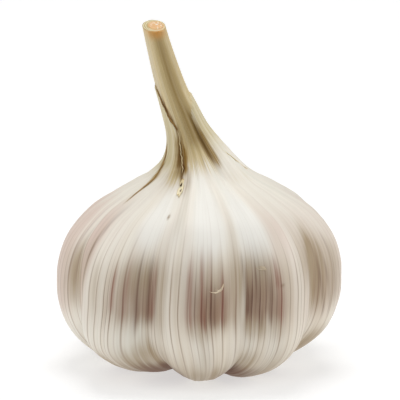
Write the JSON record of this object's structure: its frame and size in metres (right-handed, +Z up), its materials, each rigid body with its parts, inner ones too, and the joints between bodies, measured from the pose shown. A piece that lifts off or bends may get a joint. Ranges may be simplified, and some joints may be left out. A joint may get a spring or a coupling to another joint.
{
  "type": "garlic bulb",
  "caption": "Dried garlic bulb with rounded cloves under papery skin, a short leaning neck of leaf sheaths cut across, and a root plate with clipped roots underneath.",
  "frame": {"origin": "on the surface that the bulb stands on, under the middle of its outline", "axes": "+Z up the bulb, -Y out of its front, where the outer sheath of the neck is torn open, and -X the side that the neck leans to"},
  "size_m": [0.06, 0.0584, 0.0731],
  "materials": {
    "papery_skin": "off-white dried skin, satin, with thin purple-brown lengthwise veins",
    "cut_stalk": "dried peach-coloured pith, matt",
    "dried_roots": "dried brown, matt and fibrous"
  },
  "bodies": {
    "root": {"wrapped_bulb": "papery_skin", "flower_stalk": "cut_stalk", "root_plate": "dried_roots"}
  },
  "joints": []
}
